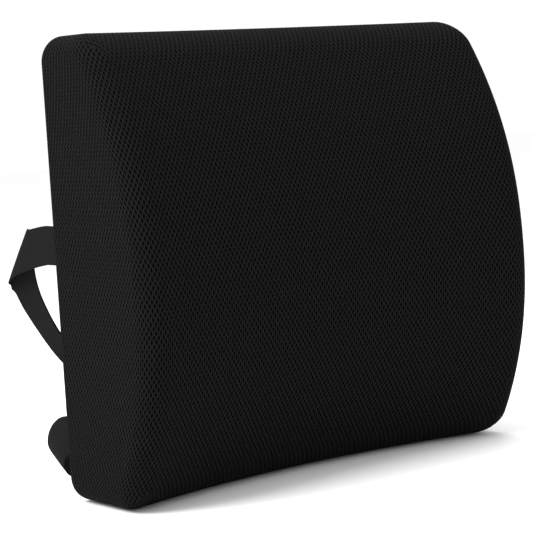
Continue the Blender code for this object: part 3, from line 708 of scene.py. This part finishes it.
def build_back_panel(level, material):
    """One panel of the woven back, with its lining side, closed along its rim."""
    rows, columns = PANEL_ROWS, PANEL_COLUMNS
    low, high = PANEL_SPANS[level]
    builder = Builder()
    layers = []
    for inner in (False, True):
        layers.append(len(builder.vertices))
        for j in range(rows + 1):
            t = j / rows
            z = low + (high - low) * (0.25 - 0.25 * math.cos(math.pi * t) + 0.5 * t)
            level_z = min(max(z, PANEL_INSET + 0.0006), HEIGHT - PANEL_INSET - 0.0006)
            half = outline_half(level_z, PANEL_INSET)
            for i in range(columns + 1):
                s = 2.0 * i / columns - 1.0
                x = half * (0.75 * s + 0.25 * math.sin(s * math.pi / 2))
                depth = PANEL_LINING if inner else panel_rise(x, z, level)
                builder.vertices.append(Vector((x, BACK_Y + depth, z)))
    wide = columns + 1

    def quad(corners):
        builder.faces.append(corners)
        places = [builder.vertices[c] for c in corners]
        builder.uvs.extend((v.x * 1000.0, v.z * 1000.0) for v in places)

    for start, flip in zip(layers, (False, True)):
        for j in range(rows):
            for i in range(columns):
                a = start + j * wide + i
                corners = [a, a + wide, a + wide + 1, a + 1]
                quad(corners[::-1] if flip else corners)
    rim = list(range(wide))
    rim += [j * wide + columns for j in range(1, rows + 1)]
    rim += [rows * wide + i for i in range(columns - 1, -1, -1)]
    rim += [j * wide for j in range(rows - 1, 0, -1)]
    for a, b in zip(rim, rim[1:] + rim[:1]):
        quad([layers[0] + a, layers[0] + b, layers[1] + b, layers[1] + a])
    piece = builder.make(f"back_cloth_{level}", material)
    settle(piece, "cushion", "back_cloth", f"back_panel_{level}")


def facing(degrees):
    """A direction in the plane of the back."""
    angle = math.radians(degrees)
    return Vector((math.cos(angle), 0.0, math.sin(angle)))


def ring_path(inset):
    """Points round the cushion's outline at an inset, in a loop, and the directions outwards there."""
    radius = CORNER_RADIUS - inset
    across, low, high = HALF_WIDTH - CORNER_RADIUS, CORNER_RADIUS, HEIGHT - CORNER_RADIUS
    points, outs = [], []
    corners = ((across, high, 0.0), (-across, high, 90.0), (-across, low, 180.0), (across, low, 270.0))
    for (cx, cz, first), (next_x, next_z, turned) in zip(corners, corners[1:] + corners[:1]):
        for turn in range(0, 91, 15):
            out = facing(first + turn)
            points.append(Vector((cx, 0.0, cz)) + out * radius)
            outs.append(out)
        out = facing(turned)
        target = Vector((next_x, 0.0, next_z)) + out * radius
        start = points[-1]
        count = max(int((target - start).length / RING_STEP), 2)
        for i in range(1, count):
            points.append(start.lerp(target, i / count))
            outs.append(out)
    return points, outs


def build_binding(material, thread):
    """Woven tape over the seam round the back, with a row of stitches along each edge."""
    middle = sum(BINDING_INSETS) / 2
    half = (BINDING_INSETS[1] - BINDING_INSETS[0]) / 2 + 0.0006
    frames = []
    for i, (point, out) in enumerate(zip(*ring_path(middle))):
        ripple = 0.00012 * math.sin(i * 1.9) + 0.00010 * math.sin(i * 0.53)
        frames.append((Vector((point.x, BACK_Y + 0.00115 + ripple, point.z)), out, OUT))
    builder = Builder()
    builder.sweep(frames, web_profile(half, 0.0011, 0.0005, 6), closed=True)
    settle(builder.make("binding_ribbon", material), "cushion", "binding_tape", "edge_binding")
    stitches = Builder()
    for offset in (-0.0019, 0.0019):
        points, _ = ring_path(middle + offset)
        lifted = [Vector((p.x, BACK_Y + 0.00190, p.z)) for p in points]
        stitches.stitch_line([*lifted, lifted[0]], [OUT] * (len(lifted) + 1))
    for level, side in (("lower", -1.0), ("upper", 1.0)):
        z = ZIP_Z + side * (ZIP_HALF_SLOT + 0.0022)
        run = []
        for x in (x / 1000.0 for x in range(-168, 169, 6)):
            run.append(Vector((x, BACK_Y + panel_rise(x, z, level) + 0.0001, z)))
        stitches.stitch_line(run, [OUT] * len(run))
    settle(stitches.make("seam_stitches", thread), "cushion", "binding_tape")


def build_label(material, thread):
    """Blank satin label, caught in the seam at its outer end and lifting a little at its free end."""
    inner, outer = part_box("care_label")
    face = BACK_Y + PANEL_RISE
    count = 18
    frames = level_frames(outer.x + 0.0015, inner.x, count, face, (inner.z + outer.z) / 2)
    for i, (centre, _, _) in enumerate(frames):
        t = i / count
        centre.y += 0.0003 + 0.0016 * t * t + 0.0003 * math.sin(t * 7.0)
    builder = Builder()
    builder.sweep(frames, web_profile((outer.z - inner.z) / 2, 0.0004, 0.0005, 8))
    settle(builder.make("satin_label", material), "cushion", "label_cloth", "care_label")
    stitches = Builder()
    run = [Vector((outer.x - 0.0012, face + 0.0010, z / 1000.0)) for z in range(63, 84, 2)]
    stitches.stitch_line(run, [OUT] * len(run), 0.0024, 0.0018, 0.0002)
    settle(stitches.make("label_stitches", thread), "cushion", "label_cloth")


# ---------------------------------------------------------------- zip


def build_zip_tape(level, side, material):
    """One tape: the part that shows, a little rippled, and its thin edge behind the coils."""
    low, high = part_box(f"zip_tape_{level}")
    frames = level_frames(low.x, high.x, 100, (low.y + high.y) / 2, (low.z + high.z) / 2)
    for centre, _, _ in frames:
        centre.y += 0.00010 * math.sin(centre.x * 420.0 + side) + 0.00008 * math.sin(centre.x * 150.0)
    builder = Builder()
    builder.sweep(frames, web_profile((high.z - low.z) / 2, high.y - low.y, 0.0, 8))
    ends = (-HIDDEN_EDGE_END, HIDDEN_EDGE_END)
    frames = level_frames(*ends, 60, BACK_Y + HIDDEN_EDGE_DEPTH, ZIP_Z + side * HIDDEN_EDGE)
    builder.sweep(frames, web_profile(HIDDEN_EDGE - 0.00003, 0.00008, 0.0, 4))
    settle(builder.make(f"zip_ribbon_{level}", material), "cushion", "zip_tape", f"zip_tape_{level}")


def build_zip_coil(level, side, phase, low, high, nylon):
    """One side's coil, whose teeth lie between those of the other side, on its cord."""
    depth = (low.y + high.y) / 2
    builder = Builder()
    for k in range(int((high.x - low.x) / COIL_PITCH)):
        x = low.x + COIL_PITCH * (k + 0.25 + phase)
        root = Vector((x, depth, ZIP_Z + side * COIL_ROOT))
        tip = Vector((x, depth, ZIP_Z + side * COIL_TIP))
        stations = [root.lerp(tip, t) for t in (0.0, 0.25, 0.5, 0.75, 0.9, 1.0)]
        first = len(builder.vertices)
        frames = [(centre, Vector((1.0, 0.0, 0.0)), OUT) for centre in stations]
        builder.sweep(frames, web_profile(0.00052, 0.00085, 0.0, 2))
        per_ring = (len(builder.vertices) - first) // len(stations)
        for ring, (centre, scale) in enumerate(zip(stations, COIL_BULGES)):
            for v in range(first + ring * per_ring, first + (ring + 1) * per_ring):
                builder.vertices[v] = centre + (builder.vertices[v] - centre) * scale
    cord = level_frames(low.x, high.x, 120, depth + 0.0001, ZIP_Z + side * COIL_CORD)
    builder.sweep(cord, web_profile(0.0004, 0.0009, 0.0, 2))
    settle(builder.make(f"zip_coil_{level}", nylon), "cushion", "zip_nylon", f"zip_teeth_{level}")


def build_zip_end(end, tape_material, thread):
    """The tab sewn across one end of the zip."""
    low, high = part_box(f"zip_end_patch_{end}")
    name = f"zip_end_tab_{end}"
    builder = Builder()
    frames = level_frames(low.x, high.x, 8, BACK_Y + 0.00072, ZIP_Z)
    builder.sweep(frames, web_profile((high.z - low.z) / 2, 0.0009, 0.0, 10))
    settle(builder.make(name, tape_material), "cushion", "zip_tape", f"zip_end_patch_{end}")
    stitches = Builder()
    for x in (low.x + 0.0014, high.x - 0.0014):
        run = [Vector((x, BACK_Y + 0.00103, ZIP_Z + z / 1000.0)) for z in range(-10, 11, 2)]
        stitches.stitch_line(run, [OUT] * len(run), 0.0020, 0.0016, 0.00016)
    settle(stitches.make(name + "_stitches", thread), "cushion", "zip_tape")


def build_zip(tape_material, nylon, metal, thread):
    for level, side in (("upper", 1.0), ("lower", -1.0)):
        build_zip_tape(level, side, tape_material)
    low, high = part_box("zip_teeth_upper")
    for level, side, phase in (("upper", 1.0, 0.0), ("lower", -1.0, 0.5)):
        build_zip_coil(level, side, phase, low, high, nylon)
    for end in ("left", "right"):
        build_zip_end(end, tape_material, thread)
    for end in ("closed", "open"):
        soften(f"zip_stop_{end}", "cushion", f"zip_clamp_{end}", 0.0003, metal, "zip_metal")
    soften("zip_slider", "zip_slider", "zip_slider_body", 0.00022, metal, "zip_metal")
    soften("zip_pull", "zip_pull", "zip_pull_tab", 0.00030, metal, "zip_metal")


def soften(node, body, name, width, material, slot):
    """A hard part with its edges rounded, from the CAD node's own shape."""

    def round_edges(bm):
        flat = math.radians(1.5)
        bmesh.ops.dissolve_limit(bm, angle_limit=flat, verts=bm.verts, edges=bm.edges)
        paired = [e for e in bm.edges if len(e.link_faces) == 2]
        sharp = [e for e in paired if e.calc_face_angle(0.0) > math.radians(25)]
        rounding = {"offset": width, "segments": 3, "profile": 0.5, "affect": "EDGES"}
        bmesh.ops.bevel(bm, geom=sharp, clamp_overlap=True, **rounding)
        bmesh.ops.triangulate(bm, faces=[f for f in bm.faces if len(f.verts) > 4])

    piece = from_cad(node, name, material, round_edges)
    weighted = piece.modifiers.new("weighted", "WEIGHTED_NORMAL")
    weighted.keep_sharp = False
    weighted.weight = 100
    settle(piece, body, slot, node)


# ---------------------------------------------------------------- straps


def smooth_route(points, steps):
    """Catmull-Rom curve through the points, with straight continuations at both ends."""
    padded = [points[0] * 2 - points[1], *points, points[-1] * 2 - points[-2]]
    curve = []
    for i in range(1, len(padded) - 2):
        before, start, end, after = padded[i - 1 : i + 3]
        for step in range(steps):
            t = step / steps
            bent = (before * 2 - start * 5 + end * 4 - after) * t**2
            twisted = (start * 3 - before - end * 3 + after) * t**3
            curve.append(0.5 * (start * 2 + (end - before) * t + bent + twisted))
    curve.append(padded[-2])
    return curve


def strap_frames(prefix, side):
    """(centre, across, outwards) along half of a strap, from inside the back seam to the middle.

    Where the strap folds, the line across it lies aslant to its edges, so it is longer there.
    """
    route = STRAP_ROUTES[prefix]
    curve = smooth_route([Vector(point) for point in route], ROUTE_STEPS)
    centres = [Vector((side * x, BACK_Y + behind, z)) for x, behind, z, _ in curve]
    frames = []
    root, stub = centres[0], route[0][1]
    for i in range(STUB_STEPS):
        centre = Vector((root.x, BACK_Y - 0.0015 + (stub + 0.0005) * i / STUB_STEPS, root.z))
        frames.append((centre, UPRIGHT, Vector((side, 0.0, 0.0))))
    for i, centre in enumerate(centres):
        along = (centres[min(i + 1, len(centres) - 1)] - centres[max(i - 1, 0)]).normalized()
        lean = math.radians(curve[i][3])
        across = Vector((0.0, math.sin(lean), math.cos(lean)))
        outwards = along.cross(across)
        frames.append((centre, across / outwards.length, outwards.normalized() * side))
    for _ in range(FOLD_SMOOTHING):
        rows = list(zip(frames, frames[1:], frames[2:]))
        frames[1:-1] = [
            (f[0], (e[1] + f[1] * 2 + g[1]) / 4, (e[2] + f[2] * 2 + g[2]) / 4) for e, f, g in rows
        ]
    return [(centre, across, outwards.normalized()) for centre, across, outwards in frames]


def cut_frames(frames, far, near):
    """The frames from one distance from the middle to a smaller one, with exact ends."""
    picked = []
    for before, after in zip(frames, frames[1:]):
        x0, x1 = abs(before[0].x), abs(after[0].x)
        for reach in (far, near):
            if x1 < reach <= x0 and x0 - x1 > 1e-9:
                t = (x0 - reach) / (x0 - x1)
                picked.append(tuple(a.lerp(b, t) for a, b in zip(before, after)))
        if near < x1 < far:
            picked.append(after)
    return picked


def fold_loop(builder, matrix, low, high):
    """A web folded round a buckle's bar: a rounded loop in the buckle's own frame."""
    turn = matrix.to_3x3()
    frames = []
    for u, n, out_u, out_n in rounded_loop((high - low) / 2, 0.0041, 0.0016):
        centre = matrix @ Vector(((low + high) / 2 + u, 0.0, n))
        frames.append((centre, turn @ Vector((0.0, 1.0, 0.0)), turn @ Vector((out_u, 0.0, out_n))))
    builder.sweep(frames, web_profile(STRAP_WIDTH / 2, 0.0013, 0.0, 8), closed=True)


def buckle_matrix(prefix):
    """Buckle frame to world: u is +X, v leans back as the web does there, n faces the cushion."""
    _, behind, z, lean = STRAP_ROUTES[prefix][-1]
    tilt = math.radians(lean)
    aside = (0.0, math.sin(tilt), math.cos(tilt))
    towards = (0.0, -math.cos(tilt), math.sin(tilt))
    turn = Matrix(((1.0, 0.0, 0.0), aside, towards)).transposed().to_4x4()
    return Matrix.Translation((0.0, BACK_Y + behind, z)) @ turn


def lap_stitches(builder, frames, lift):
    """A sewn box on a lapped end: stitches round it and across its diagonals."""
    first, last = frames[0], frames[-1]
    reach = STRAP_WIDTH / 2 - 0.0035

    def spot(frame, across):
        return frame[0] + frame[1] * across + frame[2] * lift

    corners = [spot(first, reach), spot(last, reach), spot(last, -reach), spot(first, -reach)]
    normal = (first[2] + last[2]).normalized()
    order = (0, 1, 2, 3, 0, 2, 1, 3)
    for a, b in zip(order, order[1:]):
        builder.stitch_line([corners[a], corners[b]], [normal, normal], 0.0024, 0.0019, 0.00025)


def wrap_keeper(builder, first, last):
    """A narrow elastic loop round the strap and its tail."""
    centre = (first[0] + last[0]) / 2
    across = ((first[1] + last[1]) / 2).normalized()
    outwards = ((first[2] + last[2]) / 2).normalized()
    along = (last[0] - first[0]).normalized()
    low, high = -WEB_THICKNESS / 2 - 0.0008, TAIL_OFFSET + WEB_THICKNESS / 2 + 0.0008
    middle = centre + outwards * ((low + high) / 2)
    frames = []
    for a, n, out_a, out_n in rounded_loop(STRAP_WIDTH / 2 + 0.0010, (high - low) / 2, 0.0015):
        frames.append((middle + across * a + outwards * n, along, across * out_a + outwards * out_n))
    builder.sweep(frames, web_profile(0.0040, 0.0009, 0.0, 4), closed=True)


def build_strap_side(prefix, end, webbing, stitches):
    """The web of one side, from inside the back seam; the left one is lapped and sewn at the socket."""
    side = -1.0 if end == "left" else 1.0
    frames = strap_frames(prefix, side)
    stub, free = frames[: STUB_STEPS + 1], frames[STUB_STEPS:]
    builder = Builder()
    shown = cut_frames(free, 1.0, SOCKET_FOLD if end == "left" else MIDDLE_START)
    builder.sweep(stub + shown, web_profile(STRAP_WIDTH / 2, WEB_THICKNESS, 0.0003))
    if end == "left":
        lap = cut_frames(free, SOCKET_FOLD + 0.017, SOCKET_FOLD)
        builder.sweep(lap, web_profile(STRAP_WIDTH / 2 - 0.0004, WEB_THICKNESS), shift=-0.0016)
        box = cut_frames(free, SOCKET_FOLD + 0.0145, SOCKET_FOLD + 0.003)
        lap_stitches(stitches, box, WEB_THICKNESS / 2 + 0.0004)
    web = builder.make(f"{prefix}_webbing_{end}", webbing)
    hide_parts(f"{prefix}_anchor_{end}", f"{prefix}_web_{end}")
    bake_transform(web)


def build_strap_middle(prefix, frames, webbing):
    """The slack web between the keeper and the plug, and the loose tail that lies on it."""
    builder = Builder()
    middle = cut_frames(frames, MIDDLE_START, PLUG_FOLD)
    builder.sweep(middle, web_profile(STRAP_WIDTH / 2, WEB_THICKNESS, 0.0003))
    tail = cut_frames(frames, TAIL_END, PLUG_FOLD)
    builder.sweep(tail, web_profile(STRAP_WIDTH / 2 - 0.0004, WEB_THICKNESS, 0.0002), shift=TAIL_OFFSET)
    hem = cut_frames(frames, TAIL_END, TAIL_END - 0.008)
    builder.sweep(hem, web_profile(STRAP_WIDTH / 2 - 0.0006, 0.0008), shift=TAIL_OFFSET + 0.0010)
    web = builder.make(f"{prefix}_webbing_middle", webbing)
    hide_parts(f"{prefix}_web_slack", f"{prefix}_web_tail")
    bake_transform(web)


def build_strap(prefix, webbing, thread, plastic):
    """One strap: both webs, the middle with its tail and keeper, and the side-release buckle."""
    strap, plug = f"{prefix}_strap", f"{prefix}_plug"
    stitches = Builder()
    for end in ("left", "right"):
        build_strap_side(prefix, end, webbing, stitches)
    frames = strap_frames(prefix, 1.0)[STUB_STEPS:]
    build_strap_middle(prefix, frames, webbing)
    matrix = buckle_matrix(prefix)
    for half, body in (("socket", strap), ("plug", plug)):
        builder = Builder()
        fold_loop(builder, matrix, *FOLD_SPANS[half])
        fold = builder.make(f"{prefix}_webbing_{half}_fold", webbing)
        settle(fold, body, "webbing", f"{prefix}_{half}_fold")
    keeper = Builder()
    kept = cut_frames(frames, *KEEPER_SPAN)
    wrap_keeper(keeper, kept[0], kept[-1])
    settle(keeper.make(f"{prefix}_webbing_keeper", webbing), strap, "webbing", f"{prefix}_keeper")
    settle(stitches.make(f"{prefix}_lap_stitches", thread), strap, "webbing")
    soften(f"{prefix}_socket", strap, f"{prefix}_socket_shell", 0.00055, plastic, "buckle_plastic")
    soften(f"{prefix}_plug", plug, f"{prefix}_plug_body", 0.00045, plastic, "buckle_plastic")
    for end in ("upper", "lower"):
        node = f"{prefix}_prong_{end}"
        soften(node, node, f"{prefix}_catch_{end}", 0.00045, plastic, "buckle_plastic")


# ---------------------------------------------------------------- inside


def build_inside(node, name, material, slot):
    """The foam core or its knitted bag, rounded from the CAD solid."""

    def round_off(bm):
        flatness = {"angle_face_threshold": 0.7, "angle_shape_threshold": 0.9}
        bmesh.ops.join_triangles(bm, faces=bm.faces, **flatness)
        bmesh.ops.subdivide_edges(bm, edges=bm.edges, cuts=1, use_grid_fill=True, smooth=0.0)
        axes = {"use_axis_x": True, "use_axis_y": True, "use_axis_z": True}
        for _ in range(2):
            bmesh.ops.smooth_vert(bm, verts=bm.verts, factor=0.5, **axes)
        layer = bm.loops.layers.uv.verify()
        for loop in (loop for face in bm.faces for loop in face.loops):
            loop[layer].uv = (loop.vert.co.x * 1000.0, loop.vert.co.z * 1000.0)

    piece = from_cad(node, name, material, round_off)
    settle(piece, "cushion", slot, node)


# ---------------------------------------------------------------- camera, floor and light

CAMERA_AZIMUTH = math.radians(-38.76)
CAMERA_ELEVATION = math.radians(4.81)
CAMERA_ROLL = math.radians(-3.455)
CAMERA_DISTANCE = 1.40
CAMERA_TARGET = Vector((0.0, -0.030, 0.165))
CAMERA_LENS = 127.16
CAMERA_SHIFT = (-0.0595, -0.0335)
FLOOR_REACH = 6.0
FLOOR_GAP = 0.0004
LIGHTS_TARGET = Vector((0.0, 0.0, 0.16))


def add_camera():
    data = bpy.data.cameras.new("camera")
    data.lens = CAMERA_LENS
    data.sensor_width = 36.0
    data.shift_x, data.shift_y = CAMERA_SHIFT
    camera = add_object("camera", data)
    azimuth, roll, level = CAMERA_AZIMUTH, CAMERA_ROLL, math.cos(CAMERA_ELEVATION)
    right = Vector((math.cos(azimuth), math.sin(azimuth), 0.0))
    away = (math.sin(azimuth) * level, -math.cos(azimuth) * level)
    back = Vector((*away, math.sin(CAMERA_ELEVATION)))
    up = back.cross(right)
    tilted_right = right * math.cos(roll) + up * math.sin(roll)
    tilted_up = up * math.cos(roll) - right * math.sin(roll)
    turn = Matrix((tilted_right, tilted_up, back)).transposed().to_4x4()
    camera.matrix_world = Matrix.Translation(CAMERA_TARGET + back * CAMERA_DISTANCE) @ turn
    bpy.context.scene.camera = camera


def add_area_light(name, place, size, power):
    data = bpy.data.lights.new(name, "AREA")
    data.shape = "RECTANGLE"
    data.size, data.size_y = size
    data.energy = power
    light = add_object(name, data)
    light.location = place
    light.rotation_euler = (LIGHTS_TARGET - Vector(place)).to_track_quat("-Z", "Y").to_euler()


def add_stage():
    """A pale floor, an even white world and three soft lights."""
    paint = Finish("floor_paint", 0.9)
    paint.set("Base Color", (0.93, 0.93, 0.93))
    corners = [(x * FLOOR_REACH, y * FLOOR_REACH, 0.0) for x, y in ((-1, -1), (1, -1), (1, 1), (-1, 1))]
    floor = add_mesh("floor", corners, [[0, 1, 2, 3]], paint.material, smooth=False)
    floor.location.z = cad_bounds[0][2] - FLOOR_GAP
    world = bpy.data.worlds.new("studio")
    world.use_nodes = True
    background = world.node_tree.nodes["Background"]
    background.inputs["Color"].default_value = (1.0, 1.0, 1.0, 1.0)
    background.inputs["Strength"].default_value = 1.04
    bpy.context.scene.view_settings.view_transform = "Standard"
    bpy.context.scene.world = world
    add_area_light("key_light", (-1.5, 0.1, 1.5), (1.0, 1.0), 50.0)
    add_area_light("top_light", (0.3, 0.3, 1.9), (1.6, 1.0), 16.0)
    add_area_light("fill_light", (1.6, -1.6, 0.9), (1.4, 1.2), 2.0)


cover = build_cover()
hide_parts("cover_front")
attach(cover, "cushion")

# Each woven finish below takes a darker colour for the low places of its weave and a lighter one for its
# crowns: painted shade and painted highlight.
webbing = woven_material(
    "elastic_webbing", (0.0022, 0.0023, 0.0025), (0.0110, 0.0113, 0.0119), 1.35, 0.85, 0.62, 0.7
)
back_cloth = woven_material(
    "back_weave", (0.0060, 0.0062, 0.0066), (0.0240, 0.0247, 0.0260), 0.55, 0.55, 0.3, 0.6
)
tape_cloth = woven_material(
    "tape_weave", (0.0065, 0.0067, 0.0072), (0.0290, 0.0297, 0.0310), 0.60, 0.80, 0.5, 0.7
)
satin = woven_material(
    "label_satin", (0.60, 0.60, 0.585), (0.82, 0.82, 0.80), 0.25, 0.9, 0.4, 0.25, 0.42, 0.05
)
thread = woven_material("sewing_thread", (0.0100, 0.0102, 0.0108), (0.0420, 0.0425, 0.0440), 0.15, 0.22)
pale_thread = woven_material("label_thread", (0.42, 0.42, 0.41), (0.70, 0.70, 0.68), 0.15, 0.22)
liner_cloth = woven_material("liner_knit", (0.70, 0.70, 0.69), (0.86, 0.86, 0.85), 0.8, 0.8, 0.6, 0.4)
plastic = moulded_material("black_acetal", (0.0105, 0.0105, 0.0112), 0.36)
nylon = moulded_material("black_nylon", (0.0110, 0.0110, 0.0118), 0.42)
enamel = moulded_material("black_enamel", (0.0140, 0.0140, 0.0150), 0.30, 500.0, 0.3)

build_inside("foam_core", "foam_block", foam_material(), "foam")
build_inside("inner_liner", "liner_bag", liner_cloth, "liner_cloth")
build_back_panel("lower", back_cloth)
build_back_panel("upper", back_cloth)
build_binding(tape_cloth, thread)
build_label(satin, pale_thread)
build_zip(tape_cloth, nylon, enamel, thread)
for prefix in STRAP_ROUTES:
    build_strap(prefix, webbing, thread, plastic)

add_camera()
add_stage()
